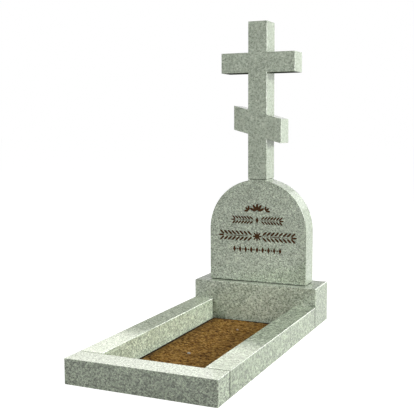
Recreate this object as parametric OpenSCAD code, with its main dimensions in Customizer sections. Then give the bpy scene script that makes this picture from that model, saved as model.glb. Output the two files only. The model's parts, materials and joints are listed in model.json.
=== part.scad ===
// Polished granite grave monument. An arched stele carries a cross with a
// slanted lower bar, and stands on a pedestal behind a low kerb round a soil bed.
// Millimetres. The front faces -Y, +X is the viewer's right and the ground is Z = 0.

/* [Kerb] */
// Overall width of the kerb, and of the pedestal that closes it
set_w = 600; // [520:5:900]
// Height of the kerb stones above the ground
kerb_h = 95; // [60:1:150]
// Width of each side kerb stone
side_kerb_w = 95; // [60:1:140]
// Length of each side kerb stone
side_kerb_l = 990; // [600:1:1600]
// Depth of the front kerb stone, front to back
front_kerb_d = 100; // [60:1:160]

/* [Pedestal] */
// Depth of the pedestal, front to back
pedestal_d = 195; // [175:1:300]
// Height of the pedestal above the ground
pedestal_h = 180; // [160:1:320]

/* [Stele] */
// Width of the stele, which is twice the radius of its arch
stele_w = 480; // [360:2:520]
// Height of the stele from its underside to the seat of the cross
stele_h = 483; // [320:1:800]
// Thickness of the stele, and of the cross that stands flush with it
stele_t = 105; // [80:1:120]
// Distance of the stele's face behind the pedestal's front
stele_setback = 47; // [20:1:55]
// Rise of the flat seat of the cross above the crown of the arch
seat_rise = 1; // [0.5:0.5:20]

/* [Cross] */
// Overall height of the cross
cross_h = 724; // [620:1:1100]
// Width of the post
post_w = 92; // [70:1:120]
// Overall width of the upper bar
bar_w = 360; // [220:2:480]
// Height of the upper bar
bar_h = 92; // [50:1:130]
// Distance from the top of the post down to the upper bar
bar_drop = 141; // [60:1:180]
// Overall width of the slanted bar
slant_w = 233; // [150:1:320]
// Height of the slanted bar at its upright ends
slant_h = 112; // [50:1:130]
// Distance from the top of the post down to the slanted bar, on the centre line
slant_drop = 414; // [380:1:460]
// Slope of the slanted bar, down towards the viewer's right
slant_angle = 15; // [0:0.5:20]

/* [Joints and edges] */
// Width of the 45 degree polished arris along each edge, measured on a face
arris = 1.5; // [1:0.5:5]
// Thickness of the upright joints between the kerb stones and the pedestal
kerb_joint = 5; // [1:0.5:8]
// Thickness of the bed under the stele
stele_bed = 3; // [1:0.5:8]
// Thickness of the bed under the cross
cross_bed = 2; // [1:0.5:8]
// Distance of the jointing behind the faces of the stones, but for the kerb's outer faces
joint_rake = 6; // [5.5:0.5:15]

/* [Dowels] */
// Diameter of the steel dowels
dowel_d = 14; // [8:1:20]
// Length of a dowel in each of the two stones that it pins
dowel_embed = 55; // [30:1:90]
// Radial clearance of a dowel in its hole
dowel_clear = 0.4; // [0.2:0.1:0.8]

/* [Soil] */
// Height of the soil over the middle of the bed
soil_h = 6; // [6:1:50]
// Height of the soil where it meets the stones
soil_edge_h = 3; // [2:0.5:6]
// Width of the slope that the soil is raked to along the stones
soil_slope_w = 45; // [10:1:120]

/* [Hidden] */
$fn = 96;

GRANITE = [0.58, 0.62, 0.55];
JOINTING = [0.30, 0.32, 0.29];
STEEL = [0.62, 0.63, 0.65];
SOIL = [0.48, 0.37, 0.20];

// Distance that a cut runs on past the faces that it opens
overrun = 1;
// Room left over the end of a dowel in the upper stone
dowel_headroom = 2;
// Spacing of each pair of dowels, as a share of the width of the stone that they pin
dowel_pitch_share = 0.5;
// Arris along the slanted bar's long edges, as a share of the arris of the post that it dies into
slant_arris_share = 0.75;
slant_arris = arris * slant_arris_share;
// Distance of the pointing behind the kerb's outer faces, as a share of the arrises that it fills
pointing_share = 0.3;
pointing_recess = arris * pointing_share;

// Places along the length, from the front
bed_l = side_kerb_l + 2 * kerb_joint;
total_l = front_kerb_d + bed_l + pedestal_d;
front_y = -total_l / 2;
bed_y = front_y + front_kerb_d;
pedestal_y = bed_y + bed_l;
stele_y = pedestal_y + stele_setback + stele_t / 2;

// Places across the width
bed_w = set_w - 2 * side_kerb_w;
side_kerb_x = (set_w - side_kerb_w) / 2;

// Heights
stele_z = pedestal_h + stele_bed;
cross_z = stele_z + stele_h + cross_bed;
arch_r = stele_w / 2;
spring_h = stele_h - seat_rise - arch_r;

// Places of the dowels, on the centre lines of the stele and of the cross
stele_dowel_x = stele_w * dowel_pitch_share / 2;
cross_dowel_x = post_w * dowel_pitch_share / 2;

// Outline of a rectangle that stands on the axis, with 45 degree cuts of size
// top and foot on its upper and lower corners, or square corners where they are zero.
function cut_outline(w, h, top, foot) = concat(
    foot > 0 ? [[-w / 2, foot], [-w / 2 + foot, 0], [w / 2 - foot, 0], [w / 2, foot]]
             : [[-w / 2, 0], [w / 2, 0]],
    top > 0 ? [[w / 2, h - top], [w / 2 - top, h], [-w / 2 + top, h], [-w / 2, h - top]]
            : [[w / 2, h], [-w / 2, h]]);

// Sawn block centred on X and Y, with a polished arris along its upright edges,
// and along its top and foot edges where those sizes are above zero.
module stone_block(w, d, h, top, foot) {
    intersection() {
        linear_extrude(h) translate([0, -d / 2]) polygon(cut_outline(w, d, arris, arris));
        rotate([90, 0, 0]) linear_extrude(d, center = true) polygon(cut_outline(w, h, top, foot));
        rotate([90, 0, 90]) linear_extrude(w, center = true) polygon(cut_outline(d, h, top, foot));
    }
}

// Half disc standing on its flat side, with an arris round both of its rims.
module arch_head(r, t) {
    profile = [[0, -t / 2], [r - arris, -t / 2], [r, -t / 2 + arris],
        [r, t / 2 - arris], [r - arris, t / 2], [0, t / 2]];
    rotate([90, 0, 0]) rotate_extrude(angle = 180) polygon(profile);
}

// Bar of the cross with upright ends, whose long edges fall towards +X. Its upper
// edge crosses the centre line at Z = 0.
module slanted_bar(w, t, h, angle) {
    half = w / 2;
    fall = half * tan(angle);
    slope_h = h * cos(angle);
    slope_l = w / cos(angle) + 2 * h * sin(angle) + 2 * overrun;
    // The corners' cuts run on past the long edges, which the section alone shapes.
    past_x = half - 2 * arris;
    past_fall = past_x * tan(angle);
    intersection() {
        // Front view, with its four corners cut.
        rotate([90, 0, 0]) linear_extrude(t, center = true) polygon([
            [-half, -h + fall + arris], [-past_x, -h + past_fall - arris],
            [past_x, -h - past_fall - arris], [half, -h - fall + arris],
            [half, -fall - arris], [past_x, -past_fall + arris],
            [-past_x, past_fall + arris], [-half, fall - arris]]);
        // Plan, with the arrises of the upright edges.
        translate([0, -t / 2, -h - fall]) linear_extrude(h + 2 * fall)
            polygon(cut_outline(w, t, arris, arris));
        // Section square to the slope, with the arrises of the long edges.
        rotate([0, angle, 0]) translate([0, 0, -slope_h]) rotate([90, 0, 90])
            linear_extrude(slope_l, center = true)
                polygon(cut_outline(t, slope_h, slant_arris, slant_arris));
    }
}

// Pair of holes for dowels, from one height to another.
module dowel_holes(x, low, high) {
    for (side = [-1, 1])
        translate([side * x, 0, low]) cylinder(d = dowel_d + 2 * dowel_clear, h = high - low);
}

// One dowel, which stands on the bottom of its hole in the lower stone.
module dowel(bed) {
    color(STEEL) translate([0, 0, -dowel_embed]) cylinder(d = dowel_d, h = 2 * dowel_embed + bed);
}

module front_kerb() {
    color(GRANITE) translate([0, front_y + front_kerb_d / 2, 0])
        stone_block(set_w, front_kerb_d, kerb_h, arris, 0);
}

module side_kerb(side) {
    color(GRANITE) translate([side * side_kerb_x, bed_y + bed_l / 2, 0])
        stone_block(side_kerb_w, side_kerb_l, kerb_h, arris, 0);
}

module pedestal() {
    color(GRANITE) difference() {
        translate([0, pedestal_y + pedestal_d / 2, 0])
            stone_block(set_w, pedestal_d, pedestal_h, arris, 0);
        translate([0, stele_y, pedestal_h]) dowel_holes(stele_dowel_x, -dowel_embed, overrun);
    }
}

module stele() {
    color(GRANITE) translate([0, stele_y, stele_z]) difference() {
        union() {
            stone_block(stele_w, stele_t, spring_h, 0, arris);
            translate([0, 0, spring_h]) arch_head(arch_r, stele_t);
            translate([0, 0, spring_h]) stone_block(post_w, stele_t, stele_h - spring_h, arris, 0);
        }
        dowel_holes(stele_dowel_x, -overrun, dowel_embed + dowel_headroom);
        translate([0, 0, stele_h]) dowel_holes(cross_dowel_x, -dowel_embed, overrun);
    }
}

module cross() {
    color(GRANITE) translate([0, stele_y, cross_z]) difference() {
        union() {
            stone_block(post_w, stele_t, cross_h, arris, arris);
            translate([0, 0, cross_h - bar_drop - bar_h])
                stone_block(bar_w, stele_t, bar_h, arris, arris);
            translate([0, 0, cross_h - slant_drop])
                slanted_bar(slant_w, stele_t, slant_h, slant_angle);
        }
        dowel_holes(cross_dowel_x, -overrun, dowel_embed + dowel_headroom);
    }
}

// Soil raked level over the middle of the bed, and down to the stones round it.
module soil_bed() {
    function raked(w) = [[-w / 2, 0], [w / 2, 0], [w / 2, soil_edge_h],
        [w / 2 - soil_slope_w, soil_h], [-w / 2 + soil_slope_w, soil_h], [-w / 2, soil_edge_h]];
    color(SOIL) translate([0, bed_y + bed_l / 2, 0]) intersection() {
        rotate([90, 0, 0]) linear_extrude(bed_l, center = true) polygon(raked(bed_w));
        rotate([90, 0, 90]) linear_extrude(bed_w, center = true) polygon(raked(bed_l));
    }
}

// Jointing between the end of a side kerb and the stone that it butts against. Its
// outer end is pointed, and widens between the arrises.
module kerb_joint_fill(side, y) {
    inner_x = bed_w / 2 + joint_rake;
    neck_x = set_w / 2 - arris;
    outer_x = set_w / 2 - pointing_recess;
    flare = arris - pointing_recess;
    color(JOINTING) translate([0, y, 0]) linear_extrude(kerb_h - arris) polygon([
        [side * inner_x, 0], [side * neck_x, 0], [side * outer_x, -flare],
        [side * outer_x, kerb_joint + flare], [side * neck_x, kerb_joint], [side * inner_x, kerb_joint]]);
}

// Bed under a stone, raked back from its faces and pierced for its dowels.
module bed_fill(w, t, h, dowel_x) {
    color(JOINTING) difference() {
        translate([-w / 2 + joint_rake, -t / 2 + joint_rake, 0])
            cube([w - 2 * joint_rake, t - 2 * joint_rake, h]);
        dowel_holes(dowel_x, -overrun, h + overrun);
    }
}

module stele_bed_joint() {
    translate([0, stele_y, pedestal_h]) bed_fill(stele_w, stele_t, stele_bed, stele_dowel_x);
}

module cross_bed_joint() {
    translate([0, stele_y, cross_z - cross_bed]) bed_fill(post_w, stele_t, cross_bed, cross_dowel_x);
}

module stele_dowel(side) {
    translate([side * stele_dowel_x, stele_y, pedestal_h]) dowel(stele_bed);
}

module cross_dowel(side) {
    translate([side * cross_dowel_x, stele_y, cross_z - cross_bed]) dowel(cross_bed);
}

front_kerb();
side_kerb(-1);  // left_kerb
side_kerb(1);  // right_kerb
pedestal();
stele();
cross();
soil_bed();
kerb_joint_fill(-1, bed_y);  // front_left_joint
kerb_joint_fill(1, bed_y);  // front_right_joint
kerb_joint_fill(-1, pedestal_y - kerb_joint);  // back_left_joint
kerb_joint_fill(1, pedestal_y - kerb_joint);  // back_right_joint
stele_bed_joint();
cross_bed_joint();
stele_dowel(-1);  // stele_dowel_left
stele_dowel(1);  // stele_dowel_right
cross_dowel(-1);  // cross_dowel_left
cross_dowel(1);  // cross_dowel_right
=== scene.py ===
import json
import math

import bpy
from mathutils import Matrix, Vector

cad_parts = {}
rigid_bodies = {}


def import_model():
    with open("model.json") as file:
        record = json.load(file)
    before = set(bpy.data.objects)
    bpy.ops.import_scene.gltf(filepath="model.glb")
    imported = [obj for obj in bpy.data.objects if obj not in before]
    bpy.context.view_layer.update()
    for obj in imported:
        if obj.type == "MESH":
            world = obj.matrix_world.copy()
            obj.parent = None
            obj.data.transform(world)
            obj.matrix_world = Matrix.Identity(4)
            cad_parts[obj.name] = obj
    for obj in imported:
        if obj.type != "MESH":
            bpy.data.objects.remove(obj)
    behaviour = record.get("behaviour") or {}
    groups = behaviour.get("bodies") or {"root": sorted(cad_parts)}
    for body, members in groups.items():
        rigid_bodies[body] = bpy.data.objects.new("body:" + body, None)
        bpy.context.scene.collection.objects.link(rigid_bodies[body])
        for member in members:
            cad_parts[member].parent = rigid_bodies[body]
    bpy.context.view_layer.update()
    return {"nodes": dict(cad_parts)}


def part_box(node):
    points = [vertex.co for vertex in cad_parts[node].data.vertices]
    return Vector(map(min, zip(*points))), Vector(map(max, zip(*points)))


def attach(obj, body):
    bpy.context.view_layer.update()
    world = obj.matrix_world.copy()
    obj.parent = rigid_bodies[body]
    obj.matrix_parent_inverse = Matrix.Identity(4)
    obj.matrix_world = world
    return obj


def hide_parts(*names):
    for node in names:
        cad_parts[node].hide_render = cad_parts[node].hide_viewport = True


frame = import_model()
packed = frame["nodes"]

# Kerb stones
# Three bars of grey-green granite, diamond-sawn and polished to a mirror, with a fine arris on every edge.
# They stand on the ground, the two side bars butting against the back of the front one.
grey_quartz = Vector((0.263, 0.315, 0.236))
green_feldspar = Vector((0.405, 0.468, 0.356))
pale_feldspar = Vector((0.516, 0.585, 0.46))
white_feldspar = Vector((0.658, 0.72, 0.589))
dark_mica = (0.32, 0.34, 0.31)
crystal_size, cluster_size, fleck_size, cloud_size = 0.005, 0.0085, 0.0019, 0.07


def feed(tree, made, inputs):
    """Sets the inputs of a node, each to a plain value or to the socket that feeds it."""
    for name, value in inputs.items():
        if isinstance(value, bpy.types.NodeSocket):
            tree.links.new(value, made.inputs[name])
        else:
            made.inputs[name].default_value = value


def node(tree, kind, inputs=None, **settings):
    """One node of a tree, with its settings and its inputs."""
    made = tree.nodes.new(kind)
    for name, value in settings.items():
        setattr(made, name, value)
    feed(tree, made, inputs or {})
    return made


def ramp(tree, factor, stops):
    """Colour that runs through the stops, each a place from 0 to 1 and a colour."""
    made = node(tree, "ShaderNodeValToRGB", {"Fac": factor})
    elements = made.color_ramp.elements
    while len(elements) < len(stops):
        elements.new(1.0)
    for element, (place, colour) in zip(elements, stops):
        element.position = place
        element.color = (*colour, 1.0)
    return made.outputs["Color"]


def blend(tree, factor, first, second, mode="MIX"):
    """The second colour laid over the first."""
    first_socket, second_socket, result = 6, 7, 2
    made = node(tree, "ShaderNodeMix", {"Factor": factor, first_socket: first, second_socket: second},
                data_type="RGBA", blend_type=mode)
    return made.outputs[result]


def spread(tree, value, low, high, start=0.0, end=1.0):
    """A value that runs from start to end, brought to a range from low to high."""
    made = node(tree, "ShaderNodeMapRange",
                {"Value": value, "From Min": start, "From Max": end, "To Min": low, "To Max": high})
    return made.outputs["Result"]


def larger(tree, first, second):
    """The larger of two values."""
    return node(tree, "ShaderNodeMath", {0: first, 1: second}, operation="MAXIMUM").outputs["Value"]


def face_direction(tree):
    """The way that the surface faces, as X, Y and Z from -1 to 1."""
    normal = node(tree, "ShaderNodeNewGeometry").outputs["True Normal"]
    return node(tree, "ShaderNodeSeparateXYZ", {"Vector": normal}).outputs


def new_material(name):
    """A fresh material, with its node tree, its shader and the piece's own coordinates."""
    material = bpy.data.materials.new(name)
    material.use_nodes = True
    tree = material.node_tree
    place = node(tree, "ShaderNodeTexCoord").outputs["Object"]
    return material, tree, tree.nodes["Principled BSDF"], place


def cell_tone(tree, place, size):
    """A random tone from 0 to 1 for each cell of a crystal pattern."""
    cells = node(tree, "ShaderNodeTexVoronoi", {"Vector": place, "Scale": 1.0 / size})
    return node(tree, "ShaderNodeSeparateColor", {"Color": cells.outputs["Color"]}).outputs["Red"]


def interlocked(tree, place, crystal):
    """Coordinates pushed about, so that the cells' straight borders interlock as crystals do."""
    push = node(tree, "ShaderNodeTexNoise", {"Vector": place, "Scale": 0.8 / crystal, "Detail": 2.0})
    push = node(tree, "ShaderNodeVectorMath", {0: push.outputs["Color"], 1: (0.5, 0.5, 0.5)},
                operation="SUBTRACT")
    push = node(tree, "ShaderNodeVectorMath", {0: push.outputs["Vector"], "Scale": crystal},
                operation="SCALE")
    uneven = node(tree, "ShaderNodeVectorMath", {0: place, 1: push.outputs["Vector"]}, operation="ADD")
    return uneven.outputs["Vector"]


def polished_granite(name, block, tone_and_painted_light, painted_side_light, grain=1.0, figure=0.2, calm=0.0, side_calm=0.0):
    """Granite of interlocked crystals, polished. Each stone has its own place in the quarried block, its own
    grain, and a figure, which is how far clusters of crystals stand out. Its colour is multiplied by its own
    tone, partly the stone's tone and partly painted light and shade: lighter on some stones, darker on
    others.
    Its crystals differ less where it is calm. The colour of its sides is multiplied again, as painted light
    and shade, and their calm is set apart from that of its other faces."""
    granite, tree, shader, place = new_material(name)
    place = node(tree, "ShaderNodeMapping", {"Vector": place, "Location": block}).outputs["Vector"]
    facing = face_direction(tree)
    side_start, side_end = 0.3, 0.6
    sideways = node(tree, "ShaderNodeMath", {0: facing["X"]}, operation="ABSOLUTE").outputs["Value"]
    sideways = spread(tree, sideways, 0.0, 1.0, side_start, side_end)
    evenness = spread(tree, sideways, calm, side_calm)
    varied = spread(tree, evenness, 1.0, 0.0)
    uneven = interlocked(tree, place, grain * crystal_size)
    # The stone's tone multiplies every mineral: partly its own tone, partly painted light and shade per
    # stone.
    quartz, green, pale, white = (Vector(tone_and_painted_light) * mineral for mineral in
                                  (grey_quartz, green_feldspar, pale_feldspar, white_feldspar))
    kind = cell_tone(tree, uneven, grain * crystal_size)
    colour = ramp(tree, kind, [(0.0, quartz), (0.12, quartz), (0.3, green), (0.7, pale), (1.0, white)])
    colour = blend(tree, evenness, colour, (*((green + pale) / 2), 1.0))
    clusters = cell_tone(tree, uneven, grain * cluster_size)
    clusters = spread(tree, clusters, 1.0 - figure, 1.0 + figure)
    colour = blend(tree, varied, colour, clusters, "MULTIPLY")
    mica_end, crystal_start = 0.05, 0.14
    mica = cell_tone(tree, uneven, grain * fleck_size)
    flecks = ramp(tree, mica, [(mica_end, dark_mica), (crystal_start, (0.95, 0.95, 0.95)),
                               (1.0, (1.1, 1.1, 1.1))])
    colour = blend(tree, varied, colour, flecks, "MULTIPLY")
    clouds = node(tree, "ShaderNodeTexNoise", {"Vector": place, "Scale": 1.0 / cloud_size, "Detail": 3.0})
    clouds = ramp(tree, clouds.outputs["Fac"], [(0.3, (0.91, 0.91, 0.90)), (0.7, (1.07, 1.07, 1.08))])
    colour = blend(tree, 1.0, colour, clouds, "MULTIPLY")
    # Painted light and shade: faces that face along X are made lighter on some stones and darker on others.
    colour = blend(tree, sideways, colour, (*painted_side_light, 1.0), "MULTIPLY")
    # Level undersides are left as sawn and dull, and their colour is darkened as painted shade.
    level, sloping = -0.995, -0.975
    underside_shade_tone = (0.16, 0.16, 0.16, 1.0)
    under = spread(tree, facing["Z"], 1.0, 0.0, level, sloping)
    underside_shaded_colour = blend(tree, 1.0, colour, underside_shade_tone, "MULTIPLY")
    # Mica takes a duller polish than the crystals round it.
    mica_polish, crystal_polish = 0.16, 0.05
    polish = spread(tree, mica, mica_polish, crystal_polish, mica_end, crystal_start)
    dip = node(tree, "ShaderNodeBump", {"Height": mica, "Strength": 0.03, "Distance": 0.0002})
    feed(tree, shader, {"Base Color": blend(tree, under, colour, underside_shaded_colour),
                        "Roughness": larger(tree, polish, under),
                        "Specular IOR Level": spread(tree, under, 0.5, 0.0),
                        "IOR": 1.6,
                        "Normal": dip.outputs["Normal"]})
    return granite


def finish_node(name, material):
    """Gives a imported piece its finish, and leaves its shape as it is."""
    packed[name].material_slots[0].material = material


finish_node("front_kerb", polished_granite(
    "front_kerb_granite", block=(0.7, 0.1, 0.3), tone_and_painted_light=(0.74, 0.755, 0.71), painted_side_light=(1.17, 1.19, 1.13),
    grain=0.6, figure=0.62))
finish_node("left_kerb", polished_granite(
    "left_kerb_granite", block=(2.1, 0.9, 1.3), tone_and_painted_light=(1.31, 1.28, 1.27), painted_side_light=(1.06, 1.09, 1.09),
    figure=0.15))
finish_node("right_kerb", polished_granite(
    "right_kerb_granite", block=(3.7, 2.3, 0.2), tone_and_painted_light=(0.78, 0.805, 0.755), painted_side_light=(0.89, 0.92, 0.83),
    figure=0.48))

# Jointing
# Grey cement mortar between the kerb stones and the pedestal, and in thin beds under the stele and the cross.
# It is pressed in from the faces and raked back behind the arrises while it is soft.


def raked_mortar():
    """Sandy cement, rough and near-black, partly as painted shade in its recess, and painted pale where it
    faces up, as painted light like that on the stone tops.
    """
    mortar, tree, shader, place = new_material("raked_mortar")
    # The sand is near-black, partly as painted shade in the raked recess.
    dark_sand, pale_sand = (0.014, 0.015, 0.012), (0.035, 0.037, 0.03)
    painted_top_light = (0.7, 0.73, 0.63, 1.0)
    sand = node(tree, "ShaderNodeTexNoise", {"Vector": place, "Scale": 900.0, "Detail": 4.0}).outputs["Fac"]
    colour = ramp(tree, sand, [(0.3, dark_sand), (0.7, pale_sand)])
    # Painted light: faces that face up are painted pale, like the bright stone tops round them.
    steep, level = 0.6, 0.9
    painted_light_on_top = spread(tree, face_direction(tree)["Z"], 0.0, 1.0, steep, level)
    pits = node(tree, "ShaderNodeBump", {"Height": sand, "Strength": 0.6, "Distance": 0.001})
    feed(tree, shader, {"Base Color": blend(tree, painted_light_on_top, colour, painted_top_light),
                        "Roughness": 0.9,
                        "Normal": pits.outputs["Normal"]})
    return mortar


mortar = raked_mortar()
for joint in ("front_left_joint", "front_right_joint", "back_left_joint", "back_right_joint",
              "stele_bed_joint", "cross_bed_joint"):
    finish_node(joint, mortar)

# Soil
# Brown garden soil, filled loose between the stones and raked level, with a furrow drawn along the stones.
# It lies in crumbs and flat clods, with two pale pebbles that the rake brought up.
soil_cell = 0.0035
soil_gap = 0.001
furrow_height = 0.001
# Heights between which the soil is painted from darker in its hollows to lighter on top, as shade and light.
hollow_shade_height, top_light_height = 0.0035, 0.0075
# Width of the band along the stones that is painted dark as their shadow in the furrow.
shadow_band_width = Vector((0.02, 0.03, 0.0))
bed_low, bed_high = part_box("soil_bed")
bed_middle = (bed_low + bed_high) / 2
bed_size = bed_high - bed_low - Vector((2 * soil_gap, 2 * soil_gap, 0.0))
shadow_band_start = bed_size / 2 - shadow_band_width


def from_middle(tree, place):
    """How far a place lies from the middle of the bed, along each axis."""
    away = node(tree, "ShaderNodeVectorMath", {0: place, 1: bed_middle}, operation="SUBTRACT")
    away = node(tree, "ShaderNodeVectorMath", {0: away.outputs["Vector"]}, operation="ABSOLUTE")
    return away.outputs["Vector"]


def garden_soil():
    """Brown earth with pale grains, painted darker in its hollows and lighter on top as shade and light, and
    painted near-black along the stones as their shadow in the furrow.
    """
    earth, tree, shader, place = new_material("garden_soil")
    dark_earth_and_clod_shade, brown_earth, pale_earth_and_clod_light = (0.045, 0.014, 0.001), (0.245, 0.125, 0.02), (0.46, 0.275, 0.08)
    hollow_shade_tone, top_light_tone = 0.7, 1.1
    furrow_shadow_tone = (0.08, 0.065, 0.06, 1.0)
    grain_size = 0.004
    shadow_edge_width = 0.006
    # The rake draws the lumps out across the bed. Their dark and light ends are partly the earth's own tone
    # and partly painted shade and light on the sides of the clods.
    rake_stretch = 2.6
    raked = node(tree, "ShaderNodeMapping", {"Vector": place, "Scale": (1.0, rake_stretch, 1.0)})
    lumps = node(tree, "ShaderNodeTexNoise",
                 {"Vector": raked.outputs["Vector"], "Scale": 75.0, "Detail": 3.0, "Roughness": 0.55})
    colour = ramp(tree, lumps.outputs["Fac"], [(0.39, dark_earth_and_clod_shade), (0.5, brown_earth), (0.61, pale_earth_and_clod_light)])
    specks = ramp(tree, cell_tone(tree, place, grain_size),
                  [(0.0, (0.5, 0.42, 0.3)), (0.25, (0.92, 0.92, 0.9)), (0.94, (1.1, 1.1, 1.1)),
                   (1.0, (1.3, 1.35, 1.6))])
    colour = blend(tree, 1.0, colour, specks, "MULTIPLY")
    height = node(tree, "ShaderNodeSeparateXYZ", {"Vector": place}).outputs["Z"]
    # Painted shade and light: lower soil is darker, higher soil lighter.
    hollow_shade_and_top_light = spread(tree, height, hollow_shade_tone, top_light_tone, hollow_shade_height, top_light_height)
    colour = blend(tree, 1.0, colour, hollow_shade_and_top_light, "MULTIPLY")
    away = node(tree, "ShaderNodeSeparateXYZ", {"Vector": from_middle(tree, place)}).outputs
    # Painted shadow: the soil along the stones is darkened to near-black.
    beside = spread(tree, away["X"], 0.0, 1.0, shadow_band_start.x, shadow_band_start.x + shadow_edge_width)
    before = spread(tree, away["Y"], 0.0, 1.0, shadow_band_start.y, shadow_band_start.y + shadow_edge_width)
    furrow_shadow = blend(tree, 1.0, colour, furrow_shadow_tone, "MULTIPLY")
    fine = node(tree, "ShaderNodeTexNoise",
                {"Vector": place, "Scale": 420.0, "Detail": 4.0, "Roughness": 0.7})
    pits = node(tree, "ShaderNodeBump", {"Height": fine.outputs["Fac"], "Strength": 0.8, "Distance": 0.003})
    feed(tree, shader, {"Base Color": blend(tree, larger(tree, beside, before), colour, furrow_shadow),
                        "Roughness": 0.95,
                        "Specular IOR Level": 0.2,
                        "Normal": pits.outputs["Normal"]})
    return earth


def apply_modifier(piece, kind, **settings):
    """Adds a modifier to the active piece, sets it and applies it."""
    modifier = piece.modifiers.new(kind.lower(), kind)
    for name, value in settings.items():
        setattr(modifier, name, value)
    bpy.ops.object.modifier_apply(modifier=modifier.name)


def heave(piece, kind, size, height, **settings):
    """Lifts and lowers the surface by one layer of a noise of that size."""
    texture = bpy.data.textures.new(piece.name + "_" + kind.lower(), kind)
    texture.noise_scale = size
    for name, value in settings.items():
        setattr(texture, name, value)
    apply_modifier(piece, "DISPLACE", texture=texture, texture_coords="GLOBAL", direction="Z",
                   strength=height)


def pick(piece):
    """Selects one piece by itself and makes it the active one."""
    bpy.ops.object.select_all(action="DESELECT")
    piece.select_set(True)
    bpy.context.view_layer.objects.active = piece


def press_flat(height):
    """Presses what is selected in edit mode flat to a height."""
    bpy.ops.transform.resize(value=(1.0, 1.0, 0.0), center_override=(0.0, 0.0, height))


def level_below(piece, height):
    """Presses all that lies lower than the height flat to it."""
    pick(piece)
    bpy.ops.object.mode_set(mode="EDIT")
    bpy.ops.mesh.select_mode(type="VERT")
    bpy.ops.mesh.select_all(action="DESELECT")
    bpy.ops.object.mode_set(mode="OBJECT")
    for vertex in piece.data.vertices:
        vertex.select = vertex.co.z < height
    bpy.ops.object.mode_set(mode="EDIT")
    press_flat(height)
    bpy.ops.object.mode_set(mode="OBJECT")


earth = garden_soil()
bpy.ops.object.select_all(action="DESELECT")
bpy.ops.mesh.primitive_grid_add(
    x_subdivisions=round(bed_size.x / soil_cell), y_subdivisions=round(bed_size.y / soil_cell), size=1.0,
    location=(bed_middle.x, bed_middle.y, 2 * bed_high.z))
soil = bpy.context.object
soil.name = "raked_soil"
soil.scale = (bed_size.x, bed_size.y, 1.0)
bpy.ops.object.transform_apply(location=True, rotation=True, scale=True)
apply_modifier(soil, "SHRINKWRAP", target=packed["soil_bed"], wrap_method="PROJECT", use_project_z=True,
               use_positive_direction=False, use_negative_direction=True)
heave(soil, "CLOUDS", size=0.09, height=0.0015, noise_depth=2)
heave(soil, "VORONOI", size=0.016, height=-0.002)
heave(soil, "STUCCI", size=0.006, height=0.001)
soil.data.materials.append(earth)
level_below(soil, furrow_height)


def clod(name, seed):
    """A small lump, rounded from a cube and then knocked out of shape."""
    bpy.ops.object.select_all(action="DESELECT")
    bpy.ops.mesh.primitive_cube_add(size=1.0)
    lump = bpy.context.object
    lump.name = name
    bpy.ops.object.mode_set(mode="EDIT")
    bpy.ops.mesh.subdivide(number_cuts=1, smoothness=1.0)
    bpy.ops.transform.vertex_random(offset=0.16, uniform=0.2, normal=0.5, seed=seed)
    bpy.ops.object.mode_set(mode="OBJECT")
    return lump


def scatter(name, lump, ground, per_square_metre, smallest, largest, margin, seed):
    """Lumps strewn over the ground, each turned and sized at random, as one joined mesh."""
    tilt, flatness = 0.15, 0.25
    compare_a, compare_b = 4, 5
    random_low, random_high = 0, 1
    group = bpy.data.node_groups.new(name, "GeometryNodeTree")
    group.interface.new_socket("Geometry", in_out="OUTPUT", socket_type="NodeSocketGeometry")
    bed = node(group, "GeometryNodeObjectInfo", {"Object": ground})
    shape = node(group, "GeometryNodeObjectInfo", {"Object": lump})
    place = node(group, "GeometryNodeInputPosition").outputs["Position"]
    inside = node(group, "FunctionNodeCompare",
                  {compare_a: from_middle(group, place),
                   compare_b: (bed_size.x / 2 - margin, bed_size.y / 2 - margin, 1.0)},
                  data_type="VECTOR", mode="ELEMENT", operation="LESS_THAN")
    points = node(group, "GeometryNodeDistributePointsOnFaces",
                  {"Mesh": bed.outputs["Geometry"], "Selection": inside.outputs["Result"],
                   "Density": per_square_metre, "Seed": seed})
    turn = node(group, "FunctionNodeRandomValue",
                {random_low: (-tilt, -tilt, 0.0), random_high: (tilt, tilt, math.tau), "Seed": seed + 1},
                data_type="FLOAT_VECTOR")
    size = node(group, "FunctionNodeRandomValue",
                {random_low: (smallest, smallest, smallest * flatness),
                 random_high: (largest, largest, largest * flatness), "Seed": seed + 2},
                data_type="FLOAT_VECTOR")
    copies = node(group, "GeometryNodeInstanceOnPoints",
                  {"Points": points.outputs["Points"], "Instance": shape.outputs["Geometry"],
                   "Rotation": turn.outputs["Value"], "Scale": size.outputs["Value"]})
    whole = node(group, "GeometryNodeRealizeInstances", {"Geometry": copies.outputs["Instances"]})
    node(group, "NodeGroupOutput", {"Geometry": whole.outputs["Geometry"]})
    bpy.ops.object.select_all(action="DESELECT")
    bpy.ops.mesh.primitive_plane_add(size=1.0)
    strewn = bpy.context.object
    strewn.name = name
    apply_modifier(strewn, "NODES", node_group=group)
    bpy.data.objects.remove(lump)
    return strewn


clods = scatter("soil_clods", clod("clod", seed=3), soil, per_square_metre=1500.0,
                smallest=0.006, largest=0.013, margin=0.026, seed=11)
crumbs = scatter("soil_crumbs", clod("crumb", seed=8), soil, per_square_metre=4200.0,
                 smallest=0.002, largest=0.005, margin=0.02, seed=23)
for strewn in (clods, crumbs):
    strewn.data.materials.clear()
    strewn.data.materials.append(earth)
    level_below(strewn, furrow_height / 2)


def pebble_stone():
    """Pale quartz, worn smooth, with grey veins."""
    quartz, tree, shader, place = new_material("pebble_stone")
    grey_vein, pale_quartz = (0.3, 0.28, 0.25), (0.48, 0.46, 0.42)
    veins = node(tree, "ShaderNodeTexNoise",
                 {"Vector": place, "Scale": 300.0, "Detail": 3.0, "Distortion": 1.5})
    colour = ramp(tree, veins.outputs["Fac"], [(0.35, grey_vein), (0.6, pale_quartz)])
    feed(tree, shader, {"Base Color": colour, "Roughness": 0.55})
    return quartz


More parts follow.
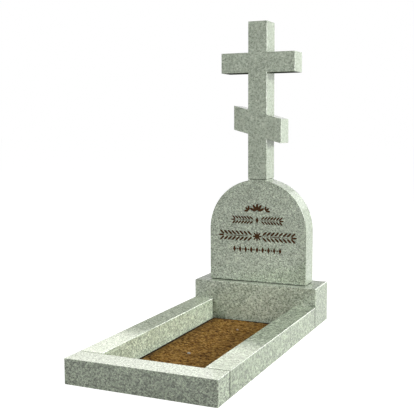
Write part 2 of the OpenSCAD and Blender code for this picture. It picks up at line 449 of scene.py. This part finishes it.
# Each pebble is wider than it is deep or high, and lies sunk a little in the soil.
quartz = pebble_stone()
pebble_depth_share, pebble_height_share, pebble_rise_share = 0.8, 0.7, 0.2
pebbles = []
for name, across, along, width, seed in (("front_pebble", -0.046, -0.148, 0.0085, 5),
                                         ("back_pebble", -0.005, 0.268, 0.006, 6)):
    top = soil.ray_cast((across, along, 1.0), (0.0, 0.0, -1.0))[1]
    pebble = clod(name, seed)
    pebble.scale = (width, pebble_depth_share * width, pebble_height_share * width)
    pebble.location = top + Vector((0.0, 0.0, pebble_rise_share * width))
    bpy.ops.object.transform_apply(location=True, rotation=True, scale=True)
    apply_modifier(pebble, "SUBSURF", levels=2, render_levels=2)
    bpy.ops.object.shade_smooth()
    pebble.data.materials.append(quartz)
    pebbles.append(pebble)


def select_rim():
    """Selects the open edge of a mesh in edit mode, and nothing else."""
    bpy.ops.mesh.select_all(action="DESELECT")
    bpy.ops.mesh.select_non_manifold(use_wire=False, use_multi_face=False, use_non_contiguous=False,
                                     use_verts=False)


# The furrow is pressed down along the edge, and the soil is closed underneath.
pick(soil)
bpy.ops.object.mode_set(mode="EDIT")
bpy.ops.mesh.select_mode(type="EDGE")
select_rim()
bpy.ops.mesh.select_more()
press_flat(furrow_height)
select_rim()
bpy.ops.mesh.extrude_region_move(TRANSFORM_OT_translate={"value": (0.0, 0.0, -furrow_height)})
bpy.ops.mesh.edge_face_add()
bpy.ops.mesh.select_all(action="SELECT")
bpy.ops.mesh.normals_make_consistent(inside=False)
bpy.ops.object.mode_set(mode="OBJECT")
bpy.ops.object.shade_smooth_by_angle(angle=math.radians(60.0))
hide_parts("soil_bed")
for piece in (soil, clods, crumbs, *pebbles):
    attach(piece, "root")

# Pedestal
# One heavy block of the same granite across the back of the kerb, polished on the faces that show.
# It carries the stele, which stands behind its front face and is pinned to it.
finish_node("pedestal", polished_granite(
    "pedestal_granite", block=(1.3, 3.1, 2.2), tone_and_painted_light=(0.96, 0.94, 0.96), painted_side_light=(0.71, 0.775, 0.655)))

# Stele
# A slab of the granite with a half-round head and a flat seat for the cross. Its face is chip-carved with
# four rows of leaves and lozenges, cut by hand to a V and filled with brown stone paint.
chip_depth = 0.0015
chip_proud = 0.001
stele_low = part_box("stele")[0]
chips = []


def stone_paint():
    """Matt brown paint, brushed into the cuts."""
    paint, tree, shader, place = new_material("stone_paint")
    dark_brown, light_brown = (0.05, 0.02, 0.005), (0.075, 0.033, 0.01)
    strokes = node(tree, "ShaderNodeTexNoise", {"Vector": place, "Scale": 260.0, "Detail": 3.0})
    colour = ramp(tree, strokes.outputs["Fac"], [(0.3, dark_brown), (0.7, light_brown)])
    feed(tree, shader, {"Base Color": colour, "Roughness": 0.8, "Specular IOR Level": 0.15})
    return paint


def chip(across, up, width, length, lean=0.0, sides=6):
    """Cutter of one chip: a pyramid with its point in the stone, leaning to the right by that angle."""
    reach = (chip_depth + chip_proud) / chip_depth / 2
    bpy.ops.mesh.primitive_cone_add(
        vertices=sides, radius1=1.0, radius2=0.0, depth=chip_depth + chip_proud,
        location=(across, stele_low.y + (chip_depth - chip_proud) / 2, up),
        rotation=(-math.pi / 2, math.radians(lean), 0.0), scale=(width * reach, length * reach, 1.0))
    chips.append(bpy.context.object)


def leaf(across, up, width, length, lean):
    """A leaf that grows from a place on its stem, leaning to the right by that angle."""
    turn = math.radians(lean)
    reach = length / 2
    chip(across + reach * math.sin(turn), up + reach * math.cos(turn), width, length, lean)


def fan(across, up, leans, leaf_width, leaf_length, clear):
    """Leaves that spread from one place, and start clear of it."""
    for lean in leans:
        turn = math.radians(lean)
        leaf(across + clear * math.sin(turn), up + clear * math.cos(turn), leaf_width, leaf_length, lean)


def garland(up, half_width, leaf_width, leaf_length, pairs):
    """Two leafy branches that grow outwards from the middle."""
    leaf_lean = 48.0
    stem_start = leaf_length * 0.8
    stem_width = leaf_width * 0.4
    leaf_offset = leaf_width * 0.3
    stem_end = half_width - leaf_length
    pitch = (stem_end - stem_start) / (pairs - 1)
    for side in (-1, 1):
        chip(side * (stem_start + stem_end) / 2, up, stem_width, half_width - stem_start, lean=90.0, sides=4)
        for pair in range(pairs):
            across = side * (stem_start + pair * pitch)
            leaf(across, up + leaf_offset, leaf_width, leaf_length, side * leaf_lean)
            leaf(across, up - leaf_offset, leaf_width, leaf_length, side * (180.0 - leaf_lean))
        leaf(side * stem_end, up, leaf_width, leaf_length, side * 90.0)


foot = stele_low.z
fan_row, side_fan_row = foot + 0.332, foot + 0.335
upper_row, lower_row = foot + 0.2915, foot + 0.2155
lozenge_row, lozenge_pitch, lozenges_a_side = foot + 0.1515, 0.0285, 4
petals = 8
bpy.ops.object.select_all(action="DESELECT")
# Three fans of leaves in the head of the arch
fan(0.0, fan_row, leans=(-66, -33, 0, 33, 66), leaf_width=0.014, leaf_length=0.036, clear=0.005)
for side in (-1, 1):
    fan(side * 0.04, side_fan_row, leans=(side * 8, side * 49, side * 90), leaf_width=0.011,
        leaf_length=0.024, clear=0.002)
# Two garlands, the upper one round a lozenge and the lower, larger one round a flower
garland(upper_row, half_width=0.133, leaf_width=0.0088, leaf_length=0.025, pairs=7)
chip(0.0, upper_row, width=0.016, length=0.036, sides=4)
garland(lower_row, half_width=0.198, leaf_width=0.0105, leaf_length=0.032, pairs=8)
for petal in range(petals):
    leaf(0.0, lower_row, width=0.009, length=0.025, lean=petal * 360.0 / petals)
# Row of lozenges and dots under them
for place in range(-lozenges_a_side, lozenges_a_side + 1):
    chip(place * lozenge_pitch, lozenge_row, width=0.0155, length=0.032, sides=4)
for place in range(-lozenges_a_side, lozenges_a_side):
    chip((place + 0.5) * lozenge_pitch, lozenge_row, width=0.0085, length=0.0085, sides=12)

for cutter in chips:
    cutter.select_set(True)
bpy.context.view_layer.objects.active = chips[0]
bpy.ops.object.join()
cutters = bpy.context.object
cutters.data.materials.append(stone_paint())

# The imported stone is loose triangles, so its copy is merged before it is carved.
stele = bpy.data.objects.new("carved_stele", packed["stele"].data.copy())
bpy.context.scene.collection.objects.link(stele)
pick(stele)
bpy.ops.object.mode_set(mode="EDIT")
bpy.ops.mesh.select_all(action="SELECT")
bpy.ops.mesh.remove_doubles(threshold=0.000005)
bpy.ops.mesh.dissolve_limited(angle_limit=math.radians(0.3))
bpy.ops.object.mode_set(mode="OBJECT")
bpy.ops.mesh.customdata_custom_splitnormals_clear()
stele.data.materials.clear()
stele.data.materials.append(polished_granite(
    "stele_granite", block=(4.9, 0.4, 3.3), tone_and_painted_light=(0.97, 0.97, 0.97), painted_side_light=(0.92, 0.935, 0.91),
    grain=0.62, figure=0.36, side_calm=0.45))
apply_modifier(stele, "BOOLEAN", operation="DIFFERENCE", object=cutters, solver="EXACT", use_self=True,
               material_mode="TRANSFER")
bpy.data.objects.remove(cutters)
bpy.ops.object.shade_smooth_by_angle(angle=math.radians(25.0))
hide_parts("stele")
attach(stele, "root")

# Cross
# One piece of the granite with a straight upper bar and a slanted lower one, sawn to shape and polished.
# It stands on the crown of the stele, on a thin bed, and two dowels pin it there.
finish_node("cross", polished_granite(
    "cross_granite", block=(0.2, 5.3, 1.9), tone_and_painted_light=(0.92, 0.92, 0.92), painted_side_light=(1.01, 1.01, 1.01),
    grain=1.2, figure=0.14, calm=0.3, side_calm=0.5))

# Dowels
# Drawn stainless steel bars, cut to length and set in resin across the two beds.
# They pin the stele to the pedestal and the cross to the stele, and don't show.


def drawn_steel():
    """Steel with fine marks of the drawing die along its length."""
    steel, tree, shader, place = new_material("drawn_steel")
    dark_mark, bright_steel = (0.48, 0.49, 0.5), (0.62, 0.63, 0.65)
    mark_stretch = 0.02
    along = node(tree, "ShaderNodeMapping", {"Vector": place, "Scale": (1.0, 1.0, mark_stretch)})
    marks = node(tree, "ShaderNodeTexNoise",
                 {"Vector": along.outputs["Vector"], "Scale": 2500.0, "Detail": 2.0}).outputs["Fac"]
    feed(tree, shader, {"Base Color": ramp(tree, marks, [(0.3, dark_mark), (0.7, bright_steel)]),
                        "Roughness": spread(tree, marks, 0.25, 0.4),
                        "Metallic": 1.0})
    return steel


steel = drawn_steel()
for dowel in ("stele_dowel_left", "stele_dowel_right", "cross_dowel_left", "cross_dowel_right"):
    finish_node(dowel, steel)

# Studio
# A white floor and background, softboxes in front, to the right and behind, a small lamp further right, and
# a narrow one in front. Bright cards behind the headstone show only in the polish of the stones.
white = (1.0, 1.0, 1.0, 1.0)
scene = bpy.context.scene
scene.view_settings.view_transform = "Standard"


def background_rays(tree):
    """1 on rays that show the background: straight to the camera, by gloss or through glass."""
    path = node(tree, "ShaderNodeLightPath").outputs
    seen = larger(tree, path["Is Camera Ray"], path["Is Glossy Ray"])
    return larger(tree, seen, path["Is Transmission Ray"])


def floor_paint():
    """Matt grey paint that glows to white where it shows as background, and keeps the shadow."""
    paint = bpy.data.materials.new("floor_paint")
    paint.use_nodes = True
    tree = paint.node_tree
    tree.nodes.clear()
    matt = node(tree, "ShaderNodeBsdfDiffuse", {"Color": (0.5, 0.5, 0.5, 1.0)}).outputs["BSDF"]
    glow = node(tree, "ShaderNodeEmission", {"Color": white, "Strength": 0.89})
    lit = node(tree, "ShaderNodeAddShader", {0: matt, 1: glow.outputs["Emission"]})
    shown = node(tree, "ShaderNodeMixShader", {0: background_rays(tree), 1: matt, 2: lit.outputs["Shader"]})
    node(tree, "ShaderNodeOutputMaterial", {"Surface": shown.outputs["Shader"]})
    return paint


def studio_walls():
    """White to the camera, a dim light on the stones, and in their polish white walls with a dim strip low on
    the left behind the headstone, which level tops mirror."""
    world = bpy.data.worlds.new("studio")
    world.use_nodes = True
    tree = world.node_tree
    tree.nodes.clear()
    ambient_light = (0.22, 0.22, 0.22, 1.0)
    low_wall, dim_wall, high_wall = (1.0, 1.0, 1.0), (0.12, 0.12, 0.12), (0.88, 0.88, 0.88)
    direction = node(tree, "ShaderNodeTexCoord").outputs["Generated"]
    direction = node(tree, "ShaderNodeSeparateXYZ", {"Vector": direction}).outputs
    strip = ramp(tree, direction["Z"], [(0.183, low_wall), (0.21, dim_wall), (0.275, dim_wall),
                                        (0.295, high_wall)])
    left = spread(tree, direction["X"], 1.0, 0.0, start=-0.28, end=-0.24)
    behind = spread(tree, direction["Y"], 0.0, 1.0, start=0.0, end=0.3)
    there = node(tree, "ShaderNodeMath", {0: left, 1: behind}, operation="MULTIPLY").outputs["Value"]
    walls = blend(tree, there, white, strip)
    room = blend(tree, background_rays(tree), ambient_light, walls)
    path = node(tree, "ShaderNodeLightPath").outputs
    room = blend(tree, path["Is Camera Ray"], room, white)
    background = node(tree, "ShaderNodeBackground", {"Color": room, "Strength": 1.0})
    node(tree, "ShaderNodeOutputWorld", {"Surface": background.outputs["Background"]})
    return world


scene.world = studio_walls()
bpy.ops.object.select_all(action="DESELECT")
bpy.ops.mesh.primitive_plane_add(size=60.0, location=(0.0, 0.0, 0.0))
floor = bpy.context.object
floor.name = "floor"
floor.data.materials.append(floor_paint())


def hang_lamp(data, place, target):
    """Puts a lamp in its place and turns it to its target."""
    lamp = bpy.data.objects.new(data.name, data)
    scene.collection.objects.link(lamp)
    lamp.location = place
    lamp.rotation_euler = (Vector(target) - Vector(place)).to_track_quat("-Z", "Y").to_euler()
    return lamp


def soft_lamp(name, place, target, width, height, power):
    """A softbox, or a bright card, turned to its target."""
    data = bpy.data.lights.new(name, "AREA")
    data.shape = "RECTANGLE"
    data.size = width
    data.size_y = height
    data.energy = power
    return hang_lamp(data, place, target)


def stone_group(name, *pieces):
    """A group of stones that a lamp is linked to."""
    group = bpy.data.collections.new(name)
    for piece in pieces:
        group.objects.link(piece)
    return group


soft_lamp("front_softbox", (-2.5, -3.5, 3.0), (0.0, 0.0, 0.5), width=2.0, height=2.0, power=88.0)
soft_lamp("right_softbox", (2.0, 0.25, 1.35), (0.0, 0.2, 0.9), width=1.2, height=1.2, power=40.0)
soft_lamp("small_lamp", (6.0, 0.1, 2.5), (0.0, 0.1, 0.65), width=0.3, height=0.3, power=95.0)
back = soft_lamp("back_softbox", (-2.5, 3.5, 2.4), (0.0, 0.3, 0.5), width=1.6, height=1.6, power=25.0)
back.visible_glossy = False
# The narrow lamp lights only the pedestal and the stele.
snoot = bpy.data.lights.new("snoot_lamp", "SPOT")
snoot.energy = 105.0
snoot.shadow_soft_size = 0.15
snoot.spot_size = math.radians(9.0)
snoot.spot_blend = 1.0
snoot_lamp = hang_lamp(snoot, (0.5, -2.5, 0.9), (0.06, 0.45, 0.13))
snoot_lamp.light_linking.receiver_collection = stone_group("front_block", packed["pedestal"], stele)
# The kerb tops mirror a wide card past the upright stones, as far back as its lower edge shows.
mirror_card = soft_lamp("mirror_card", (-2.81, 5.3, 3.43), (-0.18, -0.09, 3.43), width=8.0, height=3.2,
                        power=165.0)
mirror_card.rotation_euler.rotate_axis("Z", math.radians(-7.35))
mirror_card.data.color = (0.985, 1.0, 0.9)
# A narrow card on the right glints along the kerb's arrises.
glint_card = soft_lamp("glint_card", (1.9, 6.0, 2.95), (0.0, -0.2, 0.1), width=2.0, height=2.7, power=100.0)
# A dim one shines along the curved side of the stele.
arch_card = soft_lamp("arch_card", (0.95, 5.0, 1.85), (0.95, 0.0, 1.0), width=1.3, height=1.0, power=3.2)
arch_card.light_linking.receiver_collection = stone_group("arch_stone", stele)
for card in (mirror_card, glint_card, arch_card):
    card.visible_diffuse = False
# The upright stones don't shade the kerb from the two brighter cards.
kerbs = stone_group("kerb_stones", *(packed[name] for name in (
    "front_kerb", "left_kerb", "right_kerb", "pedestal")))
upright = stone_group("upright_stones", stele, *(packed[name] for name in (
    "pedestal", "cross", "stele_bed_joint", "cross_bed_joint", "stele_dowel_left", "stele_dowel_right",
    "cross_dowel_left", "cross_dowel_right")))
for stone in upright.collection_objects:
    stone.light_linking.link_state = "EXCLUDE"
for card in (mirror_card, glint_card):
    card.light_linking.receiver_collection = kerbs
    card.light_linking.blocker_collection = upright

# Camera
# It stands before the right corner of the kerb, a little below the bars of the cross.
# Its place, angles and long lens are those that the straight edges of the photograph give.
camera_place = (1.2998, -2.9250, 0.9261)
camera_turn, camera_tilt, camera_roll = math.radians(24.451), math.radians(-6.051), math.radians(-0.252)
camera_data = bpy.data.cameras.new("camera")
camera_data.sensor_width = 36.0
camera_data.lens = 68.336
camera = bpy.data.objects.new("camera", camera_data)
scene.collection.objects.link(camera)
camera.location = camera_place
level = Matrix.Rotation(camera_turn, 3, "Z") @ Matrix.Rotation(math.radians(90.0) + camera_tilt, 3, "X")
camera.rotation_euler = (level @ Matrix.Rotation(camera_roll, 3, "Z")).to_euler()
scene.camera = camera
